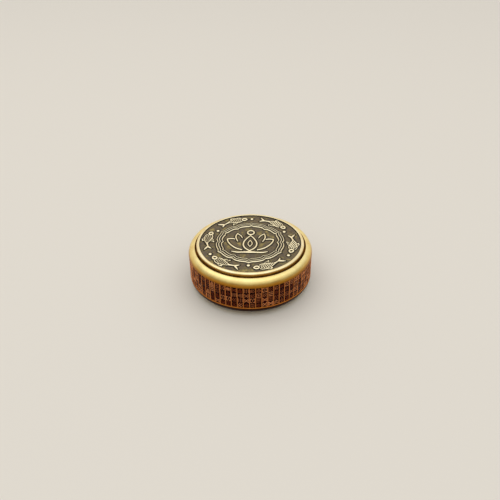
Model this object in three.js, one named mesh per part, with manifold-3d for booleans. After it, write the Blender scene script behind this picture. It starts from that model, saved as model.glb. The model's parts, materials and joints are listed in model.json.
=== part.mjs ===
// A palm-sized prayer wheel: a heavy brass ring carrying an engraved band spins on a small ball bearing
// between two finger caps, which a threaded stud draws together through the bearing's inner race.
// Millimetres, +Z up. The origin is the centre of the bottom cap's resting face.
import * as THREE from 'three';
import { mergeVertices } from 'three/addons/utils/BufferGeometryUtils.js';
import Module from 'manifold-3d';

const wasm = await Module();
wasm.setup();

// Driving dimensions.
const overallHeight = 16.3;
const ringRadius = 22.5;
const ringHeight = 14;
const capRadius = 19.5;
const capToRingGap = 0.6;
const fitGap = 0.02; // between faces that are pressed, screwed or clamped together

// A miniature deep-groove bearing of 6.35 x 12.7 x 4.762 mm.
const bearing = {
  boreRadius: 3.175,
  outerRadius: 6.35,
  halfWidth: 2.381,
  ballRadius: 0.79,
  ballCount: 10,
  innerLand: 4.25,
  outerLand: 5.28,
};
bearing.pitchRadius = (bearing.boreRadius + bearing.outerRadius) / 2;
bearing.grooveRadius = bearing.ballRadius + 0.02;

// Facets round the large pieces and round the small ones.
const largeSegments = 60;
const smallSegments = 40;

const materials = {
  satinBrass: new THREE.MeshStandardMaterial({ color: 0xd9b765, roughness: 0.34, metalness: 1 }),
  antiqueBrass: new THREE.MeshStandardMaterial({ color: 0x8a7a58, roughness: 0.45, metalness: 1 }),
  bearingSteel: new THREE.MeshStandardMaterial({ color: 0xc9ccd0, roughness: 0.2, metalness: 1 }),
  ballCeramic: new THREE.MeshStandardMaterial({ color: 0xeceae4, roughness: 0.12, metalness: 0 }),
  cageNylon: new THREE.MeshStandardMaterial({ color: 0xe6dcc4, roughness: 0.5, metalness: 0 }),
  springSteel: new THREE.MeshStandardMaterial({ color: 0x5c6066, roughness: 0.35, metalness: 1 }),
};

// The model is drawn about its middle plane, and the group lifts it to stand on z = 0.
const prayerWheel = new THREE.Group();
prayerWheel.position.z = overallHeight / 2;

function add(name, geometry, material) {
  const mesh = new THREE.Mesh(geometry, material);
  mesh.name = name;
  prayerWheel.add(mesh);
  return mesh;
}

// A profile of [radius, height] pairs turned about the Z axis, and closed if it doesn't end on the axis.
function turned(profile, segments) {
  const points = profile.map(([r, z]) => new THREE.Vector2(r, z));
  if (profile[0][0] > 0) points.push(points[0].clone());
  return new THREE.LatheGeometry(points, segments).rotateX(Math.PI / 2);
}

// Points of an elliptical arc in the profile's plane, its angles in degrees from the outward direction.
function arc(centre, radii, from, to, steps) {
  return Array.from({ length: steps + 1 }, (_, i) => {
    const angle = THREE.MathUtils.degToRad(from + ((to - from) * i) / steps);
    return [centre[0] + radii[0] * Math.cos(angle), centre[1] + radii[1] * Math.sin(angle)];
  });
}

const mirrored = (profile) => profile.map(([r, z]) => [r, -z]).reverse();

// The same piece on the underside: turned over about the X axis.
function addPair(name, geometry, material) {
  add(`top_${name}`, geometry, material);
  add(`bottom_${name}`, geometry.clone(), material).rotation.x = Math.PI;
}

function toSolid(geometry) {
  const bare = geometry.index ? geometry.toNonIndexed() : geometry.clone();
  bare.deleteAttribute('normal');
  bare.deleteAttribute('uv');
  const merged = mergeVertices(bare, 1e-4);
  return new wasm.Manifold(new wasm.Mesh({
    numProp: 3,
    vertProperties: merged.attributes.position.array,
    triVerts: new Uint32Array(merged.index.array),
  }));
}

function toGeometry(solid) {
  const mesh = solid.getMesh();
  const geometry = new THREE.BufferGeometry();
  geometry.setAttribute('position', new THREE.BufferAttribute(new Float32Array(mesh.vertProperties), 3));
  geometry.setIndex(new THREE.BufferAttribute(mesh.triVerts, 1));
  geometry.computeVertexNormals();
  return geometry;
}

// Ring: a web carries the bearing, and a recess on each side takes a cap.
const ring = {
  halfHeight: ringHeight / 2,
  mouthRadius: capRadius + capToRingGap,
  mouthBevel: 0.2,
  webHalfThickness: 4.2,
  shoulderHeight: 2.55,
  bandDepth: 0.25,
  seatRadius: bearing.outerRadius + fitGap,
  stopRadius: 5.6,
  clipGrooveRadius: 6.92,
  clipGrooveFrom: bearing.halfWidth + 0.04,
  clipGrooveTo: bearing.halfWidth + 0.62,
};

function scriptureRing() {
  const { halfHeight, mouthRadius, mouthBevel, webHalfThickness, shoulderHeight, bandDepth } = ring;
  const shoulderInner = mouthRadius + mouthBevel;
  const bandTop = halfHeight - shoulderHeight;
  const bandBottomRadius = ringRadius - bandDepth;
  const upperHalf = [
    [bandBottomRadius, bandTop - bandDepth],
    ...arc([shoulderInner, bandTop], [ringRadius - shoulderInner, shoulderHeight], 0, 90, 6),
    [mouthRadius, halfHeight - mouthBevel],
    [mouthRadius, webHalfThickness],
  ];
  const seat = [
    [ring.seatRadius, webHalfThickness],
    [ring.seatRadius, ring.clipGrooveTo],
    [ring.clipGrooveRadius, ring.clipGrooveTo],
    [ring.clipGrooveRadius, ring.clipGrooveFrom],
    [ring.seatRadius, ring.clipGrooveFrom],
    [ring.seatRadius, -bearing.halfWidth - fitGap],
    [ring.stopRadius, -bearing.halfWidth - fitGap],
    [ring.stopRadius, -webHalfThickness],
  ];
  return turned([...mirrored(upperHalf), ...upperHalf, ...seat], largeSegments);
}
add('scripture_ring', scriptureRing(), materials.satinBrass);

// Caps: a plate with a raised rim round a sunken field, and a boss and spigot that centre it in the bearing.
const cap = {
  rimHeight: overallHeight / 2,
  fieldDepth: 0.3,
  fieldRadius: 18.35,
  rimInner: 18.5,
  edgeRadius: 0.45,
  undersideHeight: 4.75,
  undersideBevel: 0.2,
  bossRadius: 4.4,
  spigotRadius: bearing.boreRadius - 0.025,
  spigotEnd: 0.15,
  studHoleRadius: 1.53,
  studHoleTop: 6,
};

const washer = {
  innerRadius: 3.25,
  outerRadius: 4.3,
  from: bearing.halfWidth + fitGap,
  to: bearing.halfWidth + fitGap + 0.5,
};

function fingerCap() {
  const fieldHeight = cap.rimHeight - cap.fieldDepth;
  const edgeCentre = [capRadius - cap.edgeRadius, cap.rimHeight - cap.edgeRadius];
  const bossEnd = washer.to + fitGap;
  return turned([
    [0, cap.studHoleTop],
    [cap.studHoleRadius, cap.studHoleTop],
    [cap.studHoleRadius, cap.spigotEnd],
    [cap.spigotRadius - 0.15, cap.spigotEnd],
    [cap.spigotRadius, cap.spigotEnd + 0.15],
    [cap.spigotRadius, bossEnd],
    [cap.bossRadius, bossEnd],
    [cap.bossRadius, cap.undersideHeight],
    [capRadius - cap.undersideBevel, cap.undersideHeight],
    [capRadius, cap.undersideHeight + cap.undersideBevel],
    ...arc(edgeCentre, [cap.edgeRadius, cap.edgeRadius], 0, 90, 4),
    [cap.rimInner, cap.rimHeight],
    [cap.fieldRadius, fieldHeight],
    [0, fieldHeight],
  ], largeSegments);
}
addPair('cap', fingerCap(), materials.antiqueBrass);

const shimWasher = turned([
  [washer.innerRadius, washer.from],
  [washer.outerRadius, washer.from],
  [washer.outerRadius, washer.to],
  [washer.innerRadius, washer.to],
], smallSegments);
addPair('shim_washer', shimWasher, materials.satinBrass);

// Stud: joins the two caps, with a hexagon socket in its upper end for the key that drives it.
const stud = { radius: 1.48, halfLength: 5.6, chamfer: 0.3, socketRadius: 0.87, socketDepth: 1.6 };

function capStud() {
  const { radius, halfLength, chamfer, socketRadius, socketDepth } = stud;
  const rod = turned([
    [0, -halfLength],
    [radius - chamfer, -halfLength],
    [radius, -halfLength + chamfer],
    [radius, halfLength - chamfer],
    [radius - chamfer, halfLength],
    [0, halfLength],
  ], smallSegments);
  const socket = new THREE.CylinderGeometry(socketRadius, socketRadius, 2 * socketDepth, 6)
    .rotateX(Math.PI / 2)
    .translate(0, 0, halfLength);
  return toGeometry(toSolid(rod).subtract(toSolid(socket)));
}
add('cap_stud', capStud(), materials.springSteel);

// Bearing: two grooved races, a crown cage of balls, and a shield on each side held by a snap ring.
const shield = { seatRadius: 5.75, seatFrom: 1.7, innerRadius: 4.34, outerRadius: 5.7, from: 1.75, to: 1.95 };
const snapRing = { grooveRadius: 5.96, grooveFrom: 2.02, grooveTo: 2.3, innerRadius: 5.4, outerRadius: 5.9 };

// The ball groove's arc, from one land to the other, on the side of the pitch circle that side names.
function ballGroove(land, side) {
  const { pitchRadius, grooveRadius } = bearing;
  const half = THREE.MathUtils.radToDeg(Math.acos(Math.abs(land - pitchRadius) / grooveRadius));
  const middle = side === 'outer' ? 0 : 180;
  return arc([pitchRadius, 0], [grooveRadius, grooveRadius], middle - half, middle + half, 6);
}

function innerRace() {
  const { boreRadius, innerLand, halfWidth } = bearing;
  const bevel = 0.15;
  return turned([
    [boreRadius, -halfWidth + bevel],
    [boreRadius + bevel, -halfWidth],
    [innerLand, -halfWidth],
    ...ballGroove(innerLand, 'inner').reverse(),
    [innerLand, halfWidth],
    [boreRadius + bevel, halfWidth],
    [boreRadius, halfWidth - bevel],
  ], smallSegments);
}
add('bearing_inner_race', innerRace(), materials.bearingSteel);

function outerRace() {
  const { outerRadius, outerLand, halfWidth } = bearing;
  const bevel = 0.15;
  const upperSteps = [
    [outerLand, shield.seatFrom],
    [shield.seatRadius, shield.seatFrom],
    [shield.seatRadius, snapRing.grooveFrom],
    [snapRing.grooveRadius, snapRing.grooveFrom],
    [snapRing.grooveRadius, snapRing.grooveTo],
    [shield.seatRadius, snapRing.grooveTo],
    [shield.seatRadius, halfWidth],
    [outerRadius - bevel, halfWidth],
    [outerRadius, halfWidth - bevel],
  ];
  return turned([...ballGroove(outerLand, 'outer'), ...upperSteps, ...mirrored(upperSteps)].reverse(), smallSegments);
}
add('bearing_outer_race', outerRace(), materials.bearingSteel);

function ballPlace(index) {
  const angle = (2 * Math.PI * index) / bearing.ballCount;
  return new THREE.Vector3(Math.cos(angle), Math.sin(angle), 0).multiplyScalar(bearing.pitchRadius);
}

for (let i = 0; i < bearing.ballCount; i++) {
  const number = String(i + 1).padStart(2, '0');
  const ball = new THREE.IcosahedronGeometry(bearing.ballRadius, 1);
  add(`bearing_ball_${number}`, ball, materials.ballCeramic).position.copy(ballPlace(i));
}

const cage = { innerRadius: 4.42, outerRadius: 5.1, bottom: -1.25, top: 0.42, pocketRadius: 0.88 };

function ballCage() {
  let solid = toSolid(turned([
    [cage.innerRadius, cage.bottom],
    [cage.outerRadius, cage.bottom],
    [cage.outerRadius, cage.top],
    [cage.innerRadius, cage.top],
  ], smallSegments));
  for (let i = 0; i < bearing.ballCount; i++) {
    const place = ballPlace(i);
    const pocket = new THREE.SphereGeometry(cage.pocketRadius, 12, 8).translate(place.x, place.y, 0);
    solid = solid.subtract(toSolid(pocket));
  }
  return toGeometry(solid);
}
add('ball_cage', ballCage(), materials.cageNylon);

const bearingShield = turned([
  [shield.innerRadius, shield.from],
  [shield.outerRadius, shield.from],
  [shield.outerRadius, shield.to],
  [shield.innerRadius, shield.to],
], smallSegments);
addPair('bearing_shield', bearingShield, materials.bearingSteel);

// A flat ring with a gap, centred on the +X side, lying from height base up.
function splitRing(innerRadius, outerRadius, gapDegrees, base, thickness) {
  const halfGap = THREE.MathUtils.degToRad(gapDegrees / 2);
  const outline = new THREE.Shape();
  outline.absarc(0, 0, outerRadius, halfGap, 2 * Math.PI - halfGap, false);
  outline.absarc(0, 0, innerRadius, 2 * Math.PI - halfGap, halfGap, true);
  outline.closePath();
  const options = { depth: thickness, bevelEnabled: false, curveSegments: smallSegments / 2 };
  return new THREE.ExtrudeGeometry(outline, options).translate(0, 0, base);
}

const shieldSnapRing = splitRing(snapRing.innerRadius, snapRing.outerRadius, 40, snapRing.grooveFrom + 0.03, 0.22);
addPair('shield_snap_ring', shieldSnapRing, materials.springSteel);

// Clip: a circlip with two drilled ears, sprung into the ring's groove over the outer race.
const clip = { innerRadius: 5.8, outerRadius: 6.85, gapDegrees: 26, earRadius: 0.62, earHoleRadius: 0.3 };

function retainingClip() {
  const base = ring.clipGrooveFrom + 0.03;
  const thickness = ring.clipGrooveTo - ring.clipGrooveFrom - 0.06;
  let solid = toSolid(splitRing(clip.innerRadius, clip.outerRadius, clip.gapDegrees, base, thickness));
  const earAngle = THREE.MathUtils.degToRad(clip.gapDegrees / 2 + 6);
  for (const side of [-1, 1]) {
    const x = clip.innerRadius * Math.cos(earAngle);
    const y = side * clip.innerRadius * Math.sin(earAngle);
    const ear = new THREE.CylinderGeometry(clip.earRadius, clip.earRadius, thickness, 20);
    const hole = new THREE.CylinderGeometry(clip.earHoleRadius, clip.earHoleRadius, 2 * thickness, 12);
    for (const piece of [ear, hole]) piece.rotateX(Math.PI / 2).translate(x, y, base + thickness / 2);
    solid = solid.add(toSolid(ear)).subtract(toSolid(hole));
  }
  return toGeometry(solid);
}
add('bearing_retaining_clip', retainingClip(), materials.springSteel);

export default prayerWheel;
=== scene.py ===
import json
import math
from functools import partial

import bmesh
import bpy
from mathutils import Matrix, Vector

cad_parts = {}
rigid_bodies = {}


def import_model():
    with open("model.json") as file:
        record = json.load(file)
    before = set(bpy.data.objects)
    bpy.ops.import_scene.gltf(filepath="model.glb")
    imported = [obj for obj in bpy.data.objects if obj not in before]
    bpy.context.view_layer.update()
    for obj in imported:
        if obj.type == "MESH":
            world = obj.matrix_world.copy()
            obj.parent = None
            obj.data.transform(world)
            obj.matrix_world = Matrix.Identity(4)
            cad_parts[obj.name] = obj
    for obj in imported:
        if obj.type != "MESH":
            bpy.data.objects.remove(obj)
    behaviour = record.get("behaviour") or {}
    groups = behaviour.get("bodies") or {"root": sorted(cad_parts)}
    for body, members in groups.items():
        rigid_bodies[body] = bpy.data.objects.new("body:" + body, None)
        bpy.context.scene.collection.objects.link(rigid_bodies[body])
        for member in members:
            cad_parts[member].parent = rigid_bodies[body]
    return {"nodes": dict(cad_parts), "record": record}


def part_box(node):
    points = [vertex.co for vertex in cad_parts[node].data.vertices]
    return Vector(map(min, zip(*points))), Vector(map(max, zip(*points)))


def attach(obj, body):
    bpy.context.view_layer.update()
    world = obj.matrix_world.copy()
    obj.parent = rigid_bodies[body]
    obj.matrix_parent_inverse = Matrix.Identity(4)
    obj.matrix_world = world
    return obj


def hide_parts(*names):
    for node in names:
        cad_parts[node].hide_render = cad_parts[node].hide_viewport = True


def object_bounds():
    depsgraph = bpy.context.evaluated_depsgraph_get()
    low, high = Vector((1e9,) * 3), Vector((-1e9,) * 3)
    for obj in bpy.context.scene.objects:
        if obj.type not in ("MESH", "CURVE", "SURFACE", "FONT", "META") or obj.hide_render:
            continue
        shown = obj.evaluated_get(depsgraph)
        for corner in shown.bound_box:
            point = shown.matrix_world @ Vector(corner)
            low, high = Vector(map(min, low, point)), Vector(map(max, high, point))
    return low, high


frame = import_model()
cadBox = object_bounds()

mm = 0.001  # sizes below are in millimetres, measured from the wheel's axis and its middle plane
middle = (cadBox[0].z + cadBox[1].z) / 2 / mm
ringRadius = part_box("scripture_ring")[1].x / mm
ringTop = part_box("scripture_ring")[1].z / mm - middle
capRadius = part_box("top_cap")[1].x / mm
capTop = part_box("top_cap")[1].z / mm - middle
bandDepth = 0.25  # how far the engraved band is sunk
bandFloor = ringRadius - bandDepth
reliefSink = 0.06  # how far the caps' raised work goes down into the field
print("frame loaded, the wheel's middle plane is at", round(middle, 3), "mm")


def linear(hexColour):
    channels = [int(hexColour[i:i + 2], 16) / 255 for i in (1, 3, 5)]
    return tuple(c / 12.92 if c <= 0.04045 else ((c + 0.055) / 1.055) ** 2.4 for c in channels) + (1.0,)


# an input takes a value, another node's output, or a node, which stands for its first output
def fillInputs(node, inputs):
    for key, value in inputs.items():
        if isinstance(value, bpy.types.Node):
            value = value.outputs[0]
        if isinstance(value, bpy.types.NodeSocket):
            node.id_data.links.new(value, node.inputs[key])
        else:
            node.inputs[key].default_value = value


# one node with its settings and its inputs, by name or listed from the first one on; stops fill a ramp
def addNode(tree, kind, inputs=(), stops=(), **settings):
    node = tree.nodes.new(kind)
    for key, value in settings.items():
        setattr(node, key, value)
    fillInputs(node, inputs if isinstance(inputs, dict) else dict(enumerate(inputs)))
    for i, (position, colour) in enumerate(stops):
        ramp = node.color_ramp.elements
        stop = ramp[i] if i < 2 else ramp.new(position)
        stop.position = position
        stop.color = linear(colour)
    return node


def addObject(name, data):
    obj = bpy.data.objects.new(name, data)
    bpy.context.scene.collection.objects.link(obj)
    return obj


def meshObject(name, vertices, faces, smoothAngle=35):
    mesh = bpy.data.meshes.new(name)
    mesh.from_pydata(vertices, [], faces)
    shell = bmesh.new()
    shell.from_mesh(mesh)
    bmesh.ops.remove_doubles(shell, verts=shell.verts, dist=1e-5)
    bmesh.ops.recalc_face_normals(shell, faces=shell.faces)
    shell.to_mesh(mesh)
    shell.free()
    mesh.shade_smooth()
    mesh.set_sharp_from_angle(angle=math.radians(smoothAngle))
    return addObject(name, mesh)


def arcPoints(centre, radii, fromAngle, toAngle, steps):
    angles = [math.radians(fromAngle + (toAngle - fromAngle) * i / steps) for i in range(steps + 1)]
    return [(centre[0] + radii[0] * math.cos(a), centre[1] + radii[1] * math.sin(a)) for a in angles]


# a profile of (radius, height) points turned about the axis, closed on itself unless it ends on the axis
def turnedObject(name, profile, segments, smoothAngle=35):
    vertices, rows = [], []
    for radius, height in profile:
        copies = segments if radius > 1e-6 else 1
        rows.append([len(vertices) + i for i in range(copies)])
        for i in range(copies):
            angle = 2 * math.pi * i / segments
            vertices.append((radius * math.cos(angle), radius * math.sin(angle), height))
    if profile[0][0] > 1e-6:
        rows.append(rows[0])
    faces = []
    for low, high in zip(rows, rows[1:]):
        for i in range(segments):
            corners = [low[i % len(low)], low[(i + 1) % len(low)],
                       high[(i + 1) % len(high)], high[i % len(high)]]
            faces.append(list(dict.fromkeys(corners)))
    return meshObject(name, vertices, faces, smoothAngle)


def joinObjects(name, objects):
    whole = bmesh.new()
    for obj in objects:
        whole.from_mesh(obj.data)
        bpy.data.objects.remove(obj)
    mesh = bpy.data.meshes.new(name)
    whole.to_mesh(mesh)
    whole.free()
    return addObject(name, mesh)


# a geometry tree with named inputs and a material: gives the function that adds nodes to it, and its inputs
def newTree(name, inputs):
    tree = bpy.data.node_groups.new(name, "GeometryNodeTree")
    tree.interface.new_socket("Geometry", in_out="INPUT", socket_type="NodeSocketGeometry")
    tree.interface.new_socket("Geometry", in_out="OUTPUT", socket_type="NodeSocketGeometry")
    for label, kind in {**inputs, "Material": "Material"}.items():
        tree.interface.new_socket(label, in_out="INPUT", socket_type="NodeSocket" + kind)
    add = partial(addNode, tree)
    return add, add("NodeGroupInput").outputs


# every tree ends alike: instances are made real, and the faces chosen get their material
def endTree(add, geometry, given, chosen=True):
    real = add("GeometryNodeRealizeInstances", {"Geometry": geometry})
    finish = add("GeometryNodeSetMaterial", (real, chosen, given["Material"]))
    return add("NodeGroupOutput", {0: finish}).id_data


# runs a geometry tree on an object and keeps the result as a plain mesh; the object and its part are used up
def runTree(obj, tree, values, name):
    modifier = obj.modifiers.new("shape", "NODES")
    modifier.node_group = tree
    for item in tree.interface.items_tree:
        if item.in_out == "INPUT" and item.name in values:
            modifier[item.identifier] = values[item.name]
    graph = bpy.context.evaluated_depsgraph_get()
    mesh = bpy.data.meshes.new_from_object(obj.evaluated_get(graph), depsgraph=graph)
    obj.modifiers.remove(modifier)
    for used in (obj, values.get("Part"), values.get("Relief")):
        if used:
            bpy.data.objects.remove(used)
    mesh.name = name
    return addObject(name, mesh)


# gives each point of a mesh a value that the materials read
def paint(obj, name, valueAt):
    attribute = obj.data.attributes.new(name, "FLOAT", "POINT")
    for vertex, mark in zip(obj.data.vertices, attribute.data):
        mark.value = valueAt(vertex.co)
    return obj


# how far relief has been rubbed bright, from none at the low height to most at the high one
def markRubbed(obj, low, high, most=1.0):
    def wear(place):
        share = min(1.0, max(0.0, (place.z - low) / (high - low)))
        return most * share * share * (3 - 2 * share)

    return paint(obj, "rubbed", wear)


# a mesh of loose points, or of none, for a geometry tree to start from
def pointHost(name, points=()):
    host = addObject(name, bpy.data.meshes.new(name))
    host.data.from_pydata(points, [], [])
    return host


# puts a piece drawn about the middle plane in millimetres into the frame; turnedOver is for the underside
def settle(piece, body, turnedOver=False):
    flip = Matrix.Rotation(math.pi, 4, "X") if turnedOver else Matrix.Identity(4)
    piece.data.transform(Matrix.Translation((0, 0, middle * mm)) @ Matrix.Scale(mm, 4) @ flip)
    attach(piece, body)
    return piece


def startMaterial(name):
    material = bpy.data.materials.new(name)
    material.use_nodes = True
    tree = material.node_tree
    add = partial(addNode, tree)
    return material, add, tree.nodes["Principled BSDF"], add("ShaderNodeTexCoord").outputs["Object"]


# distance from the wheel's axis, in millimetres
def fromAxis(add, place):
    flat = add("ShaderNodeVectorMath", (place, (1 / mm, 1 / mm, 0)), operation="MULTIPLY")
    return add("ShaderNodeVectorMath", (flat,), operation="LENGTH").outputs["Value"]


brassLook = {
    "cloud": 3.5,  # mm across a patch of slightly different tone
    "line": 0.16,  # mm between lathe lines
    "roughness": (0.25, 0.35),
    "lacquerDulls": 0.15,  # added to the roughness where the painted shade is full
    # painted shade over each side, for darker reflections towards the band and on the rim's side and for the
    # shadow reflected in the shoulder the wheel stands on: the heights it is drawn between, then its tint
    # from the first to the last
    "upper": {"bright": "#F8E8A4", "warm": "#EED48E", "from": 6.6, "to": 4.6,
              "lacquer": ((0.0, "#FFFFFF"), (0.35, "#FAEDD0"), (0.64, "#CDA363"), (0.97, "#AA7930"))},
    # on the lower shoulder the painted shade is dark brown for the reflected shadow under the wheel, with
    # plain brass near the mouth and an ochre edge at the band's border
    "lower": {"bright": "#F8E8A4", "warm": "#EED48E", "from": 7.0, "to": 4.48,
              "lacquer": ((0.0, "#FFFFFF"), (0.3, "#36190F"), (0.95, "#36190F"), (1.0, "#C28250"))},
    "rim": {"bright": "#FFF1C4", "warm": "#F2DEA6", "from": 7.86, "to": 7.7,
            "lacquer": ((0.0, "#FFFFFF"), (1.0, "#C8A466"))},
}


# colour and depth of painted shade for one side: brass in two close tones under painted shade that follows
# the height
def brassUnderPaintedShade(add, cloud, height, look):
    tone = add("ShaderNodeValToRGB", {"Fac": cloud}, stops=((0.35, look["warm"]), (0.65, look["bright"])))
    depth = add("ShaderNodeMapRange", {"Value": height, 1: look["from"], 2: look["to"]})
    tint = add("ShaderNodeValToRGB", {"Fac": depth}, stops=look["lacquer"])
    colour = add("ShaderNodeMix", {0: 1.0, 6: tone, 7: tint}, data_type="RGBA", blend_type="MULTIPLY")
    return colour.outputs[2], depth


# satin turned brass: cut on a lathe and lightly buffed, so it gives a broad soft glow with hair-fine rings;
# brown painted shade darkens it near the band and in the corners, standing in for darker reflections, and
# covers the shoulder that the wheel stands on, standing in for the shadow it reflects
def satinTurnedBrass(name, onRing):
    material, add, shader, place = startMaterial(name)
    up = add("ShaderNodeSeparateXYZ", (place,)).outputs["Z"]
    height = add("ShaderNodeMath", (up, 1 / mm, -middle), operation="MULTIPLY_ADD")
    level = add("ShaderNodeMath", (height,), operation="ABSOLUTE")
    cloud = add("ShaderNodeTexNoise", {"Vector": place, "Scale": 1 / (brassLook["cloud"] * mm), "Detail": 4.0,
                                       "Roughness": 0.55})
    if onRing:
        upper, lacquer = brassUnderPaintedShade(add, cloud, level, brassLook["upper"])
        lower = brassUnderPaintedShade(add, cloud, level, brassLook["lower"])[0]
        below = add("ShaderNodeMath", (height, 0.0), operation="LESS_THAN")
        colour = add("ShaderNodeMix", {0: below, 6: upper, 7: lower}, data_type="RGBA").outputs[2]
    else:
        colour, lacquer = brassUnderPaintedShade(add, cloud, level, brassLook["rim"])
    buffed, smudged = brassLook["roughness"]
    smudge = add("ShaderNodeMapRange", {"Value": cloud, 1: 0.3, 2: 0.7, 3: buffed, 4: smudged})
    dull = add("ShaderNodeMath", (lacquer, brassLook["lacquerDulls"], smudge), operation="MULTIPLY_ADD")
    # the lathe's lines depend only on radius and height, so they run round the axis
    across = add("ShaderNodeCombineXYZ", (fromAxis(add, place), height))
    lines = add("ShaderNodeTexNoise", {"Vector": across, "Scale": 1 / brassLook["line"], "Detail": 3.0})
    bump = add("ShaderNodeBump", {"Height": lines, "Strength": 0.5, "Distance": 0.02 * mm})
    fillInputs(shader, {"Base Color": colour, "Metallic": 1.0, "Roughness": dull, "Normal": bump})
    return material


patinaLook = {
    "stain": ((0.31, "#382F24"), (0.41, "#7C6C4C"), (0.5, "#5E544A"), (0.58, "#7E7148"), (0.68, "#A8945E")),
    # dark of patina in the hollows together with painted shade, near the relief and towards the rim
    "crevice": "#120C06",
    "crest": "#FFF2CA",
    "roughness": (0.52, 0.27),  # on the ground and on the crests
    "metallic": (0.7, 1.0),
    "patch": 2.6,  # mm across a patch of stain
    "grain": 0.28,  # mm between cast grains
    "rimFoot": (18.0, 18.38),  # radii between which the ground darkens towards the rim, as patina with painted shade in the corner
}


# antiqued cast brass: blackened in a bath and rubbed back, so lines shine cream over a mottled brown ground
def antiquedCastBrass(name):
    material, add, shader, place = startMaterial(name)
    look = patinaLook
    patch = add("ShaderNodeTexNoise", {"Vector": place, "Scale": 1 / (look["patch"] * mm), "Detail": 5.0,
                                       "Roughness": 0.6, "Distortion": 0.4})
    grain = add("ShaderNodeTexNoise", {"Vector": place, "Scale": 1 / (look["grain"] * mm), "Detail": 3.0,
                                       "Roughness": 0.6})
    stain = add("ShaderNodeValToRGB", {"Fac": patch}, stops=look["stain"])
    crest = add("ShaderNodeAttribute", attribute_name="rubbed").outputs["Fac"]
    near = add("ShaderNodeAttribute", attribute_name="crevice").outputs["Fac"]
    start, full = look["rimFoot"]
    rimFoot = add("ShaderNodeMapRange", {"Value": fromAxis(add, place), 1: start, 2: full})
    # the ground is darkened near the relief and towards the rim: patina with painted shade where the relief
    # and the rim would shade it
    dark = add("ShaderNodeMath", (near, rimFoot), operation="MAXIMUM")
    colour = stain
    for share, cover in ((dark, look["crevice"]), (crest, look["crest"])):
        colour = add("ShaderNodeMix", {0: share, 6: colour, 7: linear(cover)}, data_type="RGBA").outputs[2]
    polish, metal = [add("ShaderNodeMapRange", {"Value": crest, 3: look[kind][0], 4: look[kind][1]})
                     for kind in ("roughness", "metallic")]
    bump = add("ShaderNodeBump", {"Height": grain, "Strength": 0.35, "Distance": 0.03 * mm})
    fillInputs(shader, {"Base Color": colour, "Metallic": metal, "Roughness": polish, "Normal": bump})
    return material


bandLook = {
    "ground": ((0.38, "#120202"), (0.66, "#3A0803")),
    "mark": "#7A3319",
    "rule": "#D08040",
    "rubbed": "#EE9D66",
    "metallic": 0.95,
    "roughness": 0.42,
    "patch": 1.4,  # mm across a patch of tone
    "wearFrom": 0.04,  # mm above the sunk floor, where the dark ground gives way to the worn tone
    "wearTo": 0.17,
}


# brown-lacquered engraving: dark in the sunk ground and worn back to a dull copper tone on what stands up
def lacqueredEngraving(name, raised):
    material, add, shader, place = startMaterial(name)
    look = bandLook
    patch = add("ShaderNodeTexNoise", {"Vector": place, "Scale": 1 / (look["patch"] * mm), "Detail": 4.0,
                                       "Roughness": 0.6})
    ground = add("ShaderNodeValToRGB", {"Fac": patch}, stops=look["ground"])
    tone = add("ShaderNodeAttribute", attribute_name="tone").outputs["Fac"]
    wear = add("ShaderNodeMix", {0: 0.55, 2: patch, 3: tone})
    worn = add("ShaderNodeValToRGB", {"Fac": wear}, stops=((0.3, look[raised]), (0.85, look["rubbed"])))
    crest = add("ShaderNodeMapRange", {"Value": fromAxis(add, place), 1: bandFloor + look["wearFrom"],
                                       2: bandFloor + look["wearTo"]}, interpolation_type="SMOOTHSTEP")
    colour = add("ShaderNodeMix", {0: crest, 6: ground, 7: worn}, data_type="RGBA").outputs[2]
    bump = add("ShaderNodeBump", {"Height": patch, "Strength": 0.3, "Distance": 0.05 * mm})
    fillInputs(shader, {"Base Color": colour, "Metallic": look["metallic"], "Roughness": look["roughness"],
                        "Normal": bump})
    return material


# the hidden works share one builder: two close tones in a fine grain; metals keep their default IOR
def plainFinish(name, colours, metallic, roughness, grain, ior=None):
    material, add, shader, place = startMaterial(name)
    speck = add("ShaderNodeTexNoise", {"Vector": place, "Scale": 1 / (grain * mm), "Detail": 3.0})
    tone = add("ShaderNodeValToRGB", {"Fac": speck}, stops=((0.35, colours[0]), (0.65, colours[1])))
    bump = add("ShaderNodeBump", {"Height": speck, "Strength": 0.2, "Distance": 0.01 * mm})
    fillInputs(shader, {"Base Color": tone, "Metallic": metallic, "Roughness": roughness, "Normal": bump})
    if ior:
        shader.inputs["IOR"].default_value = ior
    return material


ringBrass = satinTurnedBrass("satinTurnedRingBrass", onRing=True)
rimBrass = satinTurnedBrass("satinTurnedRimBrass", onRing=False)
castBrass = antiquedCastBrass("antiquedCastBrass")
bandGround = lacqueredEngraving("brownLacqueredGround", "mark")
bandMark = lacqueredEngraving("brownLacqueredMarks", "mark")
bandRule = lacqueredEngraving("brownLacqueredRules", "rule")
hiddenFinishes = {
    "washer_brass": plainFinish("stampedBrass", ("#C9A04E", "#DDB96A"), 1.0, 0.35, 0.3),
    "bearing_steel": plainFinish("groundBearingSteel", ("#B9BDC2", "#D2D5D9"), 1.0, 0.18, 0.2),
    "spring_steel": plainFinish("blackenedSpringSteel", ("#4C5056", "#6A6E74"), 1.0, 0.35, 0.25),
    "cage_nylon": plainFinish("mouldedNylon", ("#DCD1B6", "#E9E0CA"), 0.0, 0.5, 0.4, 1.53),
    "ball_ceramic": plainFinish("lappedCeramic", ("#E6E4DD", "#F2F0EA"), 0.0, 0.1, 0.3, 2.1),
}
print("materials ready")


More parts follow.
